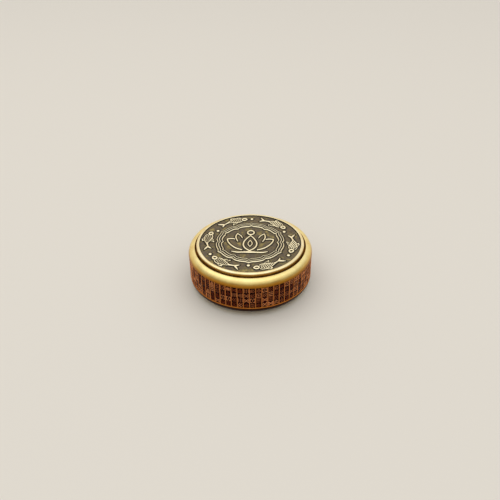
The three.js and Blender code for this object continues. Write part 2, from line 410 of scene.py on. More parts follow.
# a raised cast line on a flat curve: half-round, flared at its feet, its width scaled by the curve's radius
def raisedLineTree():
    add, given = newTree("raisedLine", {"Width": "Float", "Height": "Float", "Sink": "Float"})
    circle = add("GeometryNodeCurvePrimitiveCircle", {"Resolution": 12, "Radius": 1.0})
    corner = add("ShaderNodeSeparateXYZ", (add("GeometryNodeInputPosition"),)).outputs
    above = add("ShaderNodeMath", (corner["Y"], 0.0), operation="MAXIMUM")
    below = add("ShaderNodeMath", (corner["Y"], 0.0), operation="MINIMUM")
    flare = add("ShaderNodeMath", (above, -0.25, 1.2), operation="MULTIPLY_ADD")  # widest at the feet
    half = add("ShaderNodeMath", (given["Width"], 0.5), operation="MULTIPLY")
    side = add("ShaderNodeMath", (corner["X"], flare), operation="MULTIPLY")
    side = add("ShaderNodeMath", (side, half), operation="MULTIPLY")
    lift = add("ShaderNodeMath", (above, given["Height"]), operation="MULTIPLY")
    lift = add("ShaderNodeMath", (below, given["Sink"], lift), operation="MULTIPLY_ADD")
    drop = add("ShaderNodeMath", (lift, -1.0), operation="MULTIPLY")  # a section's Y points down
    section = add("ShaderNodeCombineXYZ", (side, drop))
    profile = add("GeometryNodeSetPosition", {"Geometry": circle, "Position": section})
    upright = add("GeometryNodeSetCurveNormal", {"Curve": given["Geometry"]}, mode="Z_UP")
    swept = add("GeometryNodeCurveToMesh", {"Curve": upright, "Profile Curve": profile, "Fill Caps": True,
                                            "Scale": add("GeometryNodeInputRadius")})
    # tops are flattened, and a wide stretch stands no higher than a narrow one
    point = add("ShaderNodeSeparateXYZ", (add("GeometryNodeInputPosition"),)).outputs
    feet = add("ShaderNodeMath", (given["Sink"], -1.0), operation="MULTIPLY")
    eased = point["Z"]
    for operation, by in (("DIVIDE", given["Height"]), ("MULTIPLY", 1.6), ("TANH", 0.0),
                          ("MULTIPLY", given["Height"]), ("MAXIMUM", feet)):
        eased = add("ShaderNodeMath", (eased, by), operation=operation)
    target = add("ShaderNodeCombineXYZ", (point["X"], point["Y"], eased))
    pressed = add("GeometryNodeSetPosition", {"Geometry": swept, "Position": target})
    outward = add("GeometryNodeFlipFaces", {"Mesh": pressed})  # its section is drawn downwards
    smooth = add("GeometryNodeSetShadeSmooth", {"Geometry": outward})
    return endTree(add, smooth, given)


# copies of one part turned about the axis at even angles
def roundAxisTree():
    add, given = newTree("roundAxis", {"Part": "Object", "Count": "Int", "First Angle": "Float"})
    part = add("GeometryNodeObjectInfo", {"Object": given["Part"]}).outputs["Geometry"]
    points = add("GeometryNodePoints", {"Count": given["Count"]})
    step = add("ShaderNodeMath", (2 * math.pi, given["Count"]), operation="DIVIDE")
    angle = add("ShaderNodeMath", (add("GeometryNodeInputIndex"), step, given["First Angle"]),
                operation="MULTIPLY_ADD")
    turn = add("ShaderNodeCombineXYZ", {2: angle})
    copies = add("GeometryNodeInstanceOnPoints", {"Points": points, "Instance": part, "Rotation": turn})
    return endTree(add, copies, given)


# one part on every point of the host mesh, as scales lie on a fish
def scatterTree():
    add, given = newTree("scatter", {"Part": "Object", "Tilt": "Float", "Spread": "Float", "Seed": "Int"})
    part = add("GeometryNodeObjectInfo", {"Object": given["Part"]}).outputs["Geometry"]
    least = add("ShaderNodeMath", (1.0, given["Spread"]), operation="SUBTRACT")
    most = add("ShaderNodeMath", (1.0, given["Spread"]), operation="ADD")
    size = add("FunctionNodeRandomValue", {2: least, 3: most, "Seed": given["Seed"]}, data_type="FLOAT")
    turn = add("ShaderNodeCombineXYZ", {1: given["Tilt"]})
    copies = add("GeometryNodeInstanceOnPoints", {"Points": given["Geometry"], "Instance": part,
                                                  "Rotation": turn, "Scale": size.outputs[1]})
    return endTree(add, copies, given)


# rows and columns of marks round a drum, each picked at random from a collection and given a tone of its own
def markBandTree():
    add, given = newTree("markBand", {"Marks": "Collection", "Columns": "Int", "Rows": "Int",
                                      "Row Pitch": "Float", "Radius": "Float", "Seed": "Int"})
    kinds = add("GeometryNodeCollectionInfo", {"Collection": given["Marks"], "Separate Children": True,
                                               "Reset Children": True})
    total = add("ShaderNodeMath", (given["Columns"], given["Rows"]), operation="MULTIPLY")
    index = add("GeometryNodeInputIndex")
    column = add("ShaderNodeMath", (index, given["Columns"]), operation="MODULO")
    row = add("ShaderNodeMath", (index, given["Columns"]), operation="DIVIDE")
    row = add("ShaderNodeMath", (row,), operation="FLOOR")
    step = add("ShaderNodeMath", (2 * math.pi, given["Columns"]), operation="DIVIDE")
    centred = add("ShaderNodeMath", (column, 0.5), operation="ADD")
    angle = add("ShaderNodeMath", (centred, step), operation="MULTIPLY")
    lastRow = add("ShaderNodeMath", (given["Rows"], 1.0), operation="SUBTRACT")
    fromMiddle = add("ShaderNodeMath", (lastRow, -0.5, row), operation="MULTIPLY_ADD")
    height = add("ShaderNodeMath", (fromMiddle, given["Row Pitch"]), operation="MULTIPLY")
    start = add("ShaderNodeCombineXYZ", {0: given["Radius"], 2: height})
    spot = add("ShaderNodeVectorRotate", {"Vector": start, "Angle": angle}, rotation_type="Z_AXIS")
    points = add("GeometryNodePoints", {"Count": total, "Position": spot})
    turn = add("ShaderNodeCombineXYZ", {2: angle})
    pick = add("FunctionNodeRandomValue", {4: 0, 5: 10000, "Seed": given["Seed"]}, data_type="INT").outputs[2]
    size, tone = [add("FunctionNodeRandomValue", {2: low, 3: high, "Seed": given["Seed"]}, data_type="FLOAT")
                  for low, high in ((0.92, 1.06), (0.0, 1.0))]
    copies = add("GeometryNodeInstanceOnPoints", {
        "Points": points, "Instance": kinds, "Pick Instance": True, "Instance Index": pick, "Rotation": turn,
        "Scale": size.outputs[1]})
    toned = add("GeometryNodeStoreNamedAttribute", {
        "Geometry": copies, "Name": "tone", "Value": tone.outputs[1]}, data_type="FLOAT", domain="INSTANCE")
    return endTree(add, toned, given)


# the sunken field of a cap: a slight cast unevenness, and how near each point lies to the relief round it,
# which darkens it there as patina with painted shade
def castFieldTree():
    add, given = newTree("castField", {
        "Relief": "Object", "Level": "Float", "Field Radius": "Float", "Unevenness": "Float",
        "Patch": "Float", "Reach": "Float", "Full": "Float", "Rim Material": "Material"})
    position = add("GeometryNodeInputPosition")
    height = add("ShaderNodeSeparateXYZ", (position,)).outputs["Z"]
    flat = add("ShaderNodeVectorMath", (position, (1, 1, 0)), operation="MULTIPLY")
    radius = add("ShaderNodeVectorMath", (flat,), operation="LENGTH").outputs["Value"]
    onLevel = add("FunctionNodeCompare", {0: height, 1: given["Level"], "Epsilon": 0.001}, data_type="FLOAT",
                  operation="EQUAL")
    inside = add("FunctionNodeCompare", (radius, given["Field Radius"]), data_type="FLOAT",
                 operation="LESS_THAN")
    field = add("FunctionNodeBooleanMath", (onLevel, inside), operation="AND")
    relief = add("GeometryNodeObjectInfo", {"Object": given["Relief"]}).outputs["Geometry"]
    nearest = add("GeometryNodeProximity", (relief,), target_element="FACES").outputs["Distance"]
    near = add("ShaderNodeMapRange", {"Value": nearest, 1: given["Reach"], 2: given["Full"]})
    masked = add("ShaderNodeMath", (near, field), operation="MULTIPLY")
    marked = add("GeometryNodeStoreNamedAttribute", {"Geometry": given["Geometry"], "Name": "crevice",
                                                     "Value": masked}, data_type="FLOAT")
    patchScale = add("ShaderNodeMath", (1.0, given["Patch"]), operation="DIVIDE")
    waves = add("ShaderNodeTexNoise", {"Vector": position, "Scale": patchScale, "Detail": 3.0})
    wave = add("ShaderNodeMath", (waves, 0.5), operation="SUBTRACT")
    wave = add("ShaderNodeMath", (wave, given["Unevenness"]), operation="MULTIPLY")
    uneven = add("GeometryNodeSetPosition", {"Geometry": marked, "Selection": field,
                                             "Offset": add("ShaderNodeCombineXYZ", {2: wave})})
    rim = add("GeometryNodeSetMaterial", {"Geometry": uneven, "Material": given["Rim Material"]})
    low = add("ShaderNodeMath", (given["Level"], 0.1), operation="SUBTRACT")
    high = add("FunctionNodeCompare", (height, low), data_type="FLOAT", operation="GREATER_THAN")
    stained = add("FunctionNodeBooleanMath", (high, inside), operation="AND")
    return endTree(add, rim, given, stained)


# pushes a round band in and out: an outward cusp at each lobe's angle and a notch halfway to the next
def lobedBandTree():
    add, given = newTree("lobedBand", {
        "Lobes": "Int", "First Angle": "Float", "Bulge": "Float", "Cusp Rise": "Float",
        "Cusp Half Angle": "Float", "Notch Dip": "Float", "Notch Half Angle": "Float"})
    corner = add("ShaderNodeSeparateXYZ", (add("GeometryNodeInputPosition"),)).outputs
    angle = add("ShaderNodeMath", (corner["Y"], corner["X"]), operation="ARCTAN2")
    turned = add("ShaderNodeMath", (angle, given["First Angle"]), operation="SUBTRACT")
    halfLobe = add("ShaderNodeMath", (math.pi, given["Lobes"]), operation="DIVIDE")
    fromCusp = add("ShaderNodeMath", (turned, halfLobe), operation="PINGPONG")
    fromNotch = add("ShaderNodeMath", (halfLobe, fromCusp), operation="SUBTRACT")
    total = add("ShaderNodeMath", (fromCusp, given["Lobes"]), operation="MULTIPLY")
    total = add("ShaderNodeMath", (total,), operation="SINE")
    total = add("ShaderNodeMath", (total, given["Bulge"]), operation="MULTIPLY")
    for away, half, rise, sign in ((fromCusp, "Cusp Half Angle", "Cusp Rise", 1.0),
                                   (fromNotch, "Notch Half Angle", "Notch Dip", -1.0)):
        peak = add("ShaderNodeMapRange", {"Value": away, 1: given[half], 2: 0.0})
        peak = add("ShaderNodeMath", (peak, 1.65), operation="POWER")  # draws the peak to a point
        peak = add("ShaderNodeMath", (peak, given[rise]), operation="MULTIPLY")
        total = add("ShaderNodeMath", (peak, sign, total), operation="MULTIPLY_ADD")
    flat = add("ShaderNodeCombineXYZ", (corner["X"], corner["Y"]))
    outward = add("ShaderNodeVectorMath", (flat,), operation="NORMALIZE")
    push = add("ShaderNodeVectorMath", {0: outward, "Scale": total}, operation="SCALE")
    pushed = add("GeometryNodeSetPosition", {"Geometry": given["Geometry"], "Offset": push})
    return endTree(add, pushed, given)


lobedBand = lobedBandTree()
raisedLine = raisedLineTree()
roundAxis = roundAxisTree()
scatter = scatterTree()
markBand = markBandTree()
castField = castFieldTree()


# a flat curve of smooth strokes; a stroke is its points (x, y, width factor), negative at a sharp corner
def strokeCurve(name, strokes):
    curve = bpy.data.curves.new(name, "CURVE")
    curve.dimensions = "3D"
    curve.resolution_u = 10
    for points, closed in strokes:
        spline = curve.splines.new("BEZIER")
        spline.bezier_points.add(len(points) - 1)
        spline.use_cyclic_u = closed
        for knot, (x, y, width) in zip(spline.bezier_points, points):
            knot.co = (x, y, 0)
            knot.radius = abs(width)
            kind = "VECTOR" if width < 0 else "AUTO"
            knot.handle_left_type = kind
            knot.handle_right_type = kind
    return addObject(name, curve)


def moved(obj, x=0.0, y=0.0, z=0.0):
    obj.data.transform(Matrix.Translation((x, y, z)))
    return obj


# ring: a heavy turned drum with rounded shoulders and a sunk band between two thin borders

ringSizes = {
    "segments": 320,
    "mouthRadius": 20.1,
    "mouthRound": 0.2,
    "webHalfThickness": 4.2,
    "shoulderHeight": 2.55,
    "borderRound": 0.1,
    "seatRadius": 6.37,
    "stopRadius": 5.6,
    "seatFloor": -2.401,
    "grooveRadius": 6.92,
    "grooveFrom": 2.421,
    "grooveTo": 3.001,
}


def ringProfile():
    sizes = ringSizes
    mouth, rounding = sizes["mouthRadius"], sizes["mouthRound"]
    shoulderStart = ringTop - sizes["shoulderHeight"]
    border = sizes["borderRound"]
    upper = [(bandFloor, shoulderStart - bandDepth - border), (bandFloor, shoulderStart - bandDepth)]
    upper += arcPoints((ringRadius - border, shoulderStart - border), (border, border), -60, 0, 5)
    shoulder = (ringRadius - mouth - rounding, sizes["shoulderHeight"])
    upper += arcPoints((mouth + rounding, shoulderStart), shoulder, 0, 90, 32)
    upper += arcPoints((mouth + rounding, ringTop - rounding), (rounding, rounding), 105, 180, 5)
    upper += [(mouth, sizes["webHalfThickness"])]
    lower = [(radius, -height) for radius, height in reversed(upper)]
    seat, stop, groove = sizes["seatRadius"], sizes["stopRadius"], sizes["grooveRadius"]
    web, floor = sizes["webHalfThickness"], sizes["seatFloor"]
    grooveFrom, grooveTo = sizes["grooveFrom"], sizes["grooveTo"]
    bore = [(seat, web), (seat, grooveTo), (groove, grooveTo), (groove, grooveFrom), (seat, grooveFrom),
            (seat, floor), (stop, floor), (stop, -web)]
    return lower + upper + bore


ringBody = turnedObject("ringBody", ringProfile(), ringSizes["segments"])
ringBody.data.materials.append(ringBrass)
ringBody.data.materials.append(bandGround)
bandHalf = ringTop - ringSizes["shoulderHeight"] - bandDepth
for face in ringBody.data.polygons:
    outside = face.center.xy.length > ringSizes["mouthRadius"] + 1
    if outside and abs(face.center.z) < bandHalf + 0.02:
        face.material_index = 1
settle(ringBody, "spinning_ring")
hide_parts("scripture_ring")
print("ring turned:", len(ringBody.data.polygons), "faces")


# band: columns of small fret and lattice ornaments between upright rules

bandSizes = {
    "columns": 67,
    "rows": 4,
    "rowPitch": 2.08,
    "markHalf": (0.688, 0.72),  # half a mark, across and up
    "strokeWidth": 0.19,
    "markHeight": 0.19,
    "heightStep": 0.012,  # so that crossing tops never share a plane
    "ruleWidth": 0.27,
    "ruleHeight": 0.21,
    "sink": 0.03,
    "sinkStep": 0.003,  # nor their feet
    "tapers": (1.25, 1.0, 0.62),  # a bar's width at its foot, at its shoulder and on top
    "shoulder": 0.7,  # the shoulder's share of a bar's height
    "seed": 11,
}

# each ornament is a few lines on a square from -1 to 1
ornaments = {
    "lozenge": [[(0, 1), (1, 0), (0, -1), (-1, 0), (0, 1)], [(-0.3, 0), (0.3, 0)]],
    "saltire": [[(-1, -1), (1, 1)], [(-1, 1), (1, -1)], [(-0.25, 1), (0.25, 1)], [(-0.25, -1), (0.25, -1)]],
    "chevrons": [[(-1, 0.1), (0, 1), (1, 0.1)], [(-1, -0.9), (0, 0), (1, -0.9)]],
    "zigzags": [[(-1, 0.2), (-0.35, 1), (0.35, 0.2), (1, 1)],
                [(-1, -1), (-0.35, -0.2), (0.35, -1), (1, -0.2)]],
    "hourglass": [[(-0.9, 1), (0.9, 1), (-0.9, -1), (0.9, -1), (-0.9, 1)]],
    "bars": [[(-0.9, 1), (0.9, 1)], [(-0.9, 0), (0.9, 0)], [(-0.9, -1), (0.9, -1)]],
    "trellis": [[(-1, 0.2), (-0.2, 1)], [(-1, -0.9), (0.9, 1)], [(0.2, -1), (1, -0.2)],
                [(-0.9, 0), (0, -0.9)]],
    "star": [[(0, -1), (0, 1)], [(-1, 0), (1, 0)], [(-0.7, -0.7), (-0.4, -0.4)], [(0.4, 0.4), (0.7, 0.7)],
             [(-0.7, 0.7), (-0.4, 0.4)], [(0.4, -0.4), (0.7, -0.7)]],
    "brackets": [[(-0.4, 1), (-1, 1), (-1, -1), (-0.4, -1)], [(0.4, 1), (1, 1), (1, -1), (0.4, -1)],
                 [(0, 0.4), (0, -0.4)]],
    "steps": [[(-0.3, 0.95), (0.3, 0.95)], [(-0.65, 0.3), (0.65, 0.3)], [(-1, -0.35), (1, -0.35)],
              [(-1, -1), (1, -1)]],
    "frame": [[(-1, -1), (1, -1), (1, 1), (-1, 1), (-1, -1)],
              [(0, 0.3), (0.3, 0), (0, -0.3), (-0.3, 0), (0, 0.3)]],
    "corners": [[(-1, 0.3), (-1, 1), (-0.3, 1)], [(1, 0.3), (1, 1), (0.3, 1)],
                [(-1, -0.3), (-1, -1), (-0.3, -1)], [(1, -0.3), (1, -1), (0.3, -1)], [(-0.3, 0), (0.3, 0)]],
}


# a bar from start to end on the tangent plane (Y, Z), tapered outwards along X, and longer by its width
def barShape(start, end, width, height, sink):
    run = (Vector(end) - Vector(start)).normalized()
    side = Vector((-run.y, run.x)) * width / 2
    first = Vector(start) - run * width / 2
    last = Vector(end) + run * width / 2
    vertices = []
    for level, shrink in zip((-sink, height * bandSizes["shoulder"], height), bandSizes["tapers"]):
        inset = run * width / 2 * (1 - shrink)
        near, far = first + inset, last - inset
        for corner, across in ((near, -1), (far, -1), (far, 1), (near, 1)):
            spot = corner + side * across * shrink
            vertices.append((level, spot.x, spot.y))
    faces = [(0, 3, 2, 1), (8, 9, 10, 11)]
    for low in (0, 4):
        faces += [(low + i, low + (i + 1) % 4, low + 4 + (i + 1) % 4, low + 4 + i) for i in range(4)]
    return vertices, faces


def markObject(name, lines):
    sizes = bandSizes
    across, up = sizes["markHalf"]
    vertices, faces = [], []
    strokes = [pair for line in lines for pair in zip(line, line[1:])]
    for count, (start, end) in enumerate(strokes):
        height = sizes["markHeight"] - sizes["heightStep"] * (count % 3)
        sink = sizes["sink"] + sizes["sinkStep"] * count
        ends = [(y * across, z * up) for y, z in (start, end)]
        corners, sides = barShape(*ends, sizes["strokeWidth"], height, sink)
        faces += [[len(vertices) + i for i in side] for side in sides]
        vertices += corners
    mesh = bpy.data.meshes.new(name)
    mesh.from_pydata(vertices, [], faces)
    return bpy.data.objects.new(name, mesh)


markKinds = bpy.data.collections.new("markKinds")
bpy.context.scene.collection.children.link(markKinds)
for turnCount in range(2):
    for name, lines in ornaments.items():
        turnedLines = [[(-z, y) if turnCount else (y, z) for y, z in line] for line in lines]
        markKinds.objects.link(markObject(f"{name}{turnCount}", turnedLines))

bandMarks = runTree(pointHost("bandHost"), markBand, {
    "Marks": markKinds, "Columns": bandSizes["columns"], "Rows": bandSizes["rows"],
    "Row Pitch": bandSizes["rowPitch"], "Radius": bandFloor, "Seed": bandSizes["seed"],
    "Material": bandMark}, "bandMarks")
for obj in list(markKinds.objects):
    bpy.data.objects.remove(obj)
bpy.data.collections.remove(markKinds)
settle(bandMarks, "spinning_ring")

ruleHalf = bandHalf + 0.05  # the rules run into the borders
ruleShape = barShape((0, -ruleHalf), (0, ruleHalf), bandSizes["ruleWidth"], bandSizes["ruleHeight"],
                     bandSizes["sink"])
oneRule = moved(meshObject("oneRule", *ruleShape, 20), x=bandFloor)
bandRules = runTree(pointHost("ruleHost"), roundAxis, {
    "Part": oneRule, "Count": bandSizes["columns"], "First Angle": 0.0, "Material": bandRule}, "bandRules")
settle(bandRules, "spinning_ring")
print("band:", len(bandMarks.data.polygons), "mark faces,", len(bandRules.data.polygons), "rule faces")


# cap relief, drawn once with its feet at height 0 and then set on both caps

patternTurn = math.radians(-3)  # the caps were pressed home this far round from the wheel's front

frames = {
    "outer": 12.25,  # the frame is a raised band with a bright outer, middle and inner line
    "middle": 11.35,
    "inner": 10.3,
    "height": 0.26,
    "hollow": 0.18,  # height of the dark floor between the lines
    "slope": 0.2,  # width of the outer and inner sides
    "edge": 0.12,  # width of the outer and inner tops
    "step": 0.1,  # width of the sides down to the hollow
    "ridge": 0.07,  # half the middle line's top
    "segments": 360,
    "lobes": 6,
    "firstAngle": 30.0,
    "bulge": 0.12,
    "cuspRise": 0.66,
    "cuspHalfAngle": 6.5,
    "notchDip": 0.55,
    "notchHalfAngle": 8.0,
}


# radius, height, how far it is rubbed bright, and how dark it is in a corner, as patina with painted shade
def frameSection():
    top, hollow, slope = frames["height"], frames["hollow"], frames["slope"]

    def sideOf(line, way):
        edge = line - way * frames["edge"]
        return [(line + way * slope, -reliefSink, 0, 0), (line + way * slope, 0, 0.15, 0),
                (line + way * slope * 0.6, top * 0.5, 1, 0), (line, top, 1, 0), (edge, top, 0.85, 0),
                (edge - way * frames["step"], hollow, 0, 0.95)]

    middleLine, ridge = frames["middle"], frames["ridge"]
    foot = ridge + frames["step"]
    middleRidge = [(middleLine + foot, hollow, 0, 0.9), (middleLine + ridge, top - 0.02, 0.95, 0),
                   (middleLine - ridge, top - 0.02, 0.95, 0), (middleLine - foot, hollow, 0, 0.9)]
    return sideOf(frames["outer"], 1) + middleRidge + sideOf(frames["inner"], -1)[::-1]


section = frameSection()


def nearestCorner(place):
    flat = Vector((place.xy.length, place.z))
    return min(section, key=lambda point: (Vector(point[:2]) - flat).length)


plainFrame = turnedObject("plainFrame", [point[:2] for point in section], frames["segments"], 60)
paint(plainFrame, "rubbed", lambda place: nearestCorner(place)[2])
paint(plainFrame, "crevice", lambda place: nearestCorner(place)[3])
capFrames = runTree(plainFrame, lobedBand, {
    "Lobes": frames["lobes"], "First Angle": math.radians(frames["firstAngle"]), "Bulge": frames["bulge"],
    "Cusp Rise": frames["cuspRise"], "Cusp Half Angle": math.radians(frames["cuspHalfAngle"]),
    "Notch Dip": frames["notchDip"], "Notch Half Angle": math.radians(frames["notchHalfAngle"]),
    "Material": castBrass}, "topFrames")
print("frames:", len(capFrames.data.polygons), "faces")

emblem = {"width": 0.54, "height": 0.28, "lowered": 0.5}

# heights between which each kind of relief turns from dark to bright, and how bright it ends if not fully
worn = {"line": (0.03, 0.15), "pearl": (0.02, 0.14), "scale": (0.03, 0.09), "eye": (0.1, 0.2, 0.4),
        "trunk": (0.1, 0.5, 0.2)}


def castLines(name, strokes, width, height):
    lines = runTree(strokeCurve("strokes", strokes), raisedLine, {
        "Width": width, "Height": height, "Sink": reliefSink, "Material": castBrass}, name)
    return markRubbed(lines, *worn["line"])


# an open lotus in raised lines under a ring-shaped jewel; x to the right, y up, third is the width factor
heartPetal = [(0, 4.7, -0.8), (-1.5, 2.4, 1), (-2.4, -0.4, 1), (-1.8, -3.2, 1), (0, -5.1, -0.9),
              (1.8, -3.2, 1), (2.4, -0.4, 1), (1.5, 2.4, 1)]
heartBud = [(0, 1.7, -0.6), (-0.75, -0.5, 0.7), (0, -2.5, -0.6), (0.75, -0.5, 0.7)]
jewelRing = [(0, 8.0, 1), (-1.05, 7.3, 1), (-1.05, 6.0, 1), (0, 5.3, 1), (1.05, 6.0, 1), (1.05, 7.3, 1)]
upperPetal = [(-2.9, 2.9, 0.6), (-3.6, 4.5, 0.8), (-5.0, 6.0, -0.7), (-5.4, 4.0, 0.9), (-5.1, 2.3, 0.85),
              (-4.4, 0.6, 0.65)]
lowerPetal = [(-5.6, 2.2, 0.75), (-6.8, 2.5, 0.9), (-8.5, 2.2, -0.85), (-8.0, 0.4, 0.9), (-6.6, -1.9, 1),
              (-4.8, -3.6, 1), (-2.6, -4.6, 0.85)]
waterLine = [(-6.4, -5.5, 0.6), (-4.6, -6.05, 1.1), (-2.3, -6.0, 1.2), (0, -5.9, 1.9), (2.3, -6.0, 1.2),
             (4.6, -6.05, 1.1), (6.4, -5.5, 0.6)]
emblemStrokes = [(heartPetal, True), (heartBud, True), (jewelRing, True), (waterLine, False)]
for petal in (upperPetal, lowerPetal):
    emblemStrokes += [(petal, False), ([(-x, y, width) for x, y, width in petal], False)]
capEmblem = castLines("topEmblem", emblemStrokes, emblem["width"], emblem["height"])
moved(capEmblem, y=-emblem["lowered"])
print("emblem:", len(capEmblem.data.polygons), "faces")

fish = {
    "count": 6,
    "orbit": 15.7,  # radius of the circle that the fish swim round
    "firstAngle": -3.0,
    "lineWidth": 0.56,
    "lineHeight": 0.28,
    "bodyFrom": 3.5,  # behind the head
    "bodyTo": -3.0,  # at the tail's stem
    "bodyHeight": 0.14,
    "bodyDark": 0.75,  # how dark the body is left between its scales, as patina with painted shade
    "scaleLength": 0.66,  # spacing of the scales along the body, then across it
    "scaleWidth": 0.78,
    "scaleRadius": 0.31,
    "scaleHeight": 0.13,
    "scaleSink": 0.04,
    "scaleTilt": 14.0,
    "scaleSpread": 0.08,
    "eye": 4.6,  # places of the eye, and of a pearl in each fin
    "eyeRadius": 0.2,
    "eyeHeight": 0.08,
    "finPearls": ((-1.0, -2.35), (-0.2, 1.75)),
    "finPearlRadius": 0.34,
    "finPearlHeight": 0.25,
    "seed": 5,
}

# x runs towards the head, y away from the wheel's axis
fishStrokes = [
    ([(5.55, 0.0, -0.9), (4.85, 0.62, 1.0), (4.05, 0.6, 1.0), (3.7, 0.0, 1.0), (4.05, -0.6, 1.0),
      (4.85, -0.62, 1.0)], True),
    ([(-1.8, 0.0, 1.4), (-2.8, -0.15, 1.0), (-3.7, -0.3, 0.85), (-4.3, -0.35, 0.95)], False),
    ([(-4.0, -0.3, 0.8), (-4.6, 0.1, 1.2), (-5.2, 0.7, 1.05), (-5.9, 1.45, 0.3)], False),
    ([(-4.0, -0.35, 0.8), (-4.65, -0.55, 1.15), (-5.2, -0.85, 1.0), (-5.85, -1.3, 0.3)], False),
    ([(1.6, 1.35, 0.4), (0.9, 1.8, 0.4), (0.2, 2.1, -0.45), (0.0, 1.55, 0.4), (-0.4, 1.0, 0.4)], False),
    ([(1.6, -1.35, 0.4), (0.8, -1.95, 0.4), (-0.2, -2.2, 0.4), (-0.9, -1.6, 0.4)], False),
    ([(3.5, 0.95, 0.6), (2.6, 1.4, 0.55), (1.2, 1.35, 0.5), (-0.3, 0.9, 0.5), (-1.8, 0.3, 0.5)], False),
    ([(3.5, -0.95, 0.7), (2.6, -1.4, 0.65), (1.2, -1.35, 0.6), (-0.3, -0.9, 0.55),
      (-1.8, -0.35, 0.5)], False),
]
for i in range(4):  # the rays of the belly fin
    ray = [(1.1 - 0.5 * i, -1.4 + 0.1 * i, 0.3), (0.6 - 0.4 * i, -2.0 + 0.05 * i, 0.25)]
    fishStrokes.append((ray, False))


# the place and half width at a share of the body's length: it swells from the gills, then narrows to the tail
def bodyAt(share):
    x = fish["bodyFrom"] + (fish["bodyTo"] - fish["bodyFrom"]) * share
    widest = 0.22
    if share < widest:
        return x, 0.85 + 0.6 * math.sin(math.pi / 2 * share / widest)
    return x, 0.3 + 1.15 * math.cos(math.pi / 2 * (share - widest) / (1 - widest))


# the trunk: a low dome with a flat foot, thickest behind the head
def fishTrunk():
    stations, across = 26, 12
    vertices, faces = [], []
    for i in range(stations + 1):
        x, half = bodyAt(i / stations)
        for j in range(across + 1):
            angle = math.pi * j / across
            height = fish["bodyHeight"] * math.sin(angle) ** 0.7 * min(1, half / 0.9)
            vertices.append((x, half * math.cos(angle), height if 0 < j < across else -reliefSink))
    row = across + 1
    for i in range(stations):
        a, b = i * row, (i + 1) * row
        faces += [(a + j, a + j + 1, b + j + 1, b + j) for j in range(across)]
        faces.append((a + across, a, b, b + across))
    faces.append(list(range(row)))
    faces.append(list(range(stations * row, (stations + 1) * row)))
    return meshObject("fishTrunk", vertices, faces, 60)


def scaleSpots():
    spots = []
    count = int((fish["bodyFrom"] - fish["bodyTo"]) / fish["scaleLength"])
    for i in range(1, count):
        x, half = bodyAt(i / count)
        shift = 0.5 * (i % 2)
        for j in range(-3, 4):
            y = (j + shift) * fish["scaleWidth"]
            if abs(y) < half - 0.15:
                lift = fish["bodyHeight"] * (1 - (y / half) ** 2) ** 0.35 * min(1, half / 0.9)
                spots.append((x, y, lift))
    return spots


def domeObject(name, radius, height, segments, rings, sink=reliefSink):
    profile = [(0, -sink), (radius, -sink)]
    profile += arcPoints((0, 0), (radius, height), 0, 90, rings)[:-1] + [(0, height)]
    return turnedObject(name, profile, segments, 60)


oneScale = domeObject("oneScale", fish["scaleRadius"], fish["scaleHeight"], 8, 3, fish["scaleSink"])
markRubbed(oneScale, *worn["scale"])
fishScales = runTree(pointHost("scaleHost", scaleSpots()), scatter, {
    "Part": oneScale, "Tilt": math.radians(fish["scaleTilt"]), "Spread": fish["scaleSpread"],
    "Seed": fish["seed"], "Material": castBrass}, "fishScales")
fishLines = castLines("fishLines", fishStrokes, fish["lineWidth"], fish["lineHeight"])
fishEye = markRubbed(domeObject("fishEye", fish["eyeRadius"], fish["eyeHeight"], 14, 5), *worn["eye"])
fishParts = [markRubbed(fishTrunk(), *worn["trunk"]), fishScales, fishLines, moved(fishEye, x=fish["eye"])]
paint(fishParts[0], "crevice", lambda place: fish["bodyDark"])
for x, y in fish["finPearls"]:
    finPearl = domeObject("finPearl", fish["finPearlRadius"], fish["finPearlHeight"], 16, 5)
    fishParts.append(markRubbed(moved(finPearl, x=x, y=y), *worn["pearl"]))
oneFish = joinObjects("oneFish", fishParts)
for vertex in oneFish.data.vertices:
    x, y, z = vertex.co
    angle = -x / fish["orbit"]
    radius = fish["orbit"] + y
    vertex.co = (radius * math.cos(angle), radius * math.sin(angle), z)
capFish = runTree(pointHost("fishHost"), roundAxis, {
    "Part": oneFish, "Count": fish["count"], "First Angle": math.radians(fish["firstAngle"]),
    "Material": castBrass}, "topFish")
capFish.data.shade_smooth()

pearl = {"radius": 0.6, "height": 0.28, "nearOrbit": 14.3, "farOrbit": 15.9}
pearlPair = joinObjects("pearlPair", [
    markRubbed(moved(domeObject("onePearl", pearl["radius"], pearl["height"], 24, 8), y=y), *worn["pearl"])
    for y in (pearl["farOrbit"], -pearl["nearOrbit"])])
capPearls = runTree(pointHost("pearlHost"), roundAxis, {
    "Part": pearlPair, "Count": fish["count"] // 2, "First Angle": 0.0, "Material": castBrass}, "topPearls")
print("fish and pearls:", len(capFish.data.polygons) + len(capPearls.data.polygons), "faces")


# caps: a turned plate with a rounded rim round the sunken field, and the boss and spigot under it

capSizes = {
    "segments": 360,
    "fieldDepth": 0.3,
    "fieldRadius": 18.42,
    "fieldStep": 0.2,  # ring spacing of the field's mesh, fine enough to carry the dark tone of patina and painted shade
    "fieldMargin": 0.2,  # from the edge of the field in to the first of those rings
    "fillet": 0.08,
    "filletCentre": 0.1,  # in from the edge of the field
    "rimCrest": 18.82,  # the rim is slightly crowned, highest on this radius
    "outerDrop": 0.45,
    "innerDrop": 0.1,
    "undersideHeight": 4.75,
    "undersideBevel": 0.2,
    "bossRadius": 4.4,
    "bossEnd": 2.921,
    "spigotRadius": 3.15,
    "spigotEnd": 0.15,
    "spigotBevel": 0.15,
    "studHoleRadius": 1.53,
    "studHoleTop": 6,
    "unevenness": 0.05,
    "unevenPatch": 2.2,
    "creviceReach": 0.62,
    "creviceFull": 0.22,
}
fieldLevel = capTop - capSizes["fieldDepth"]


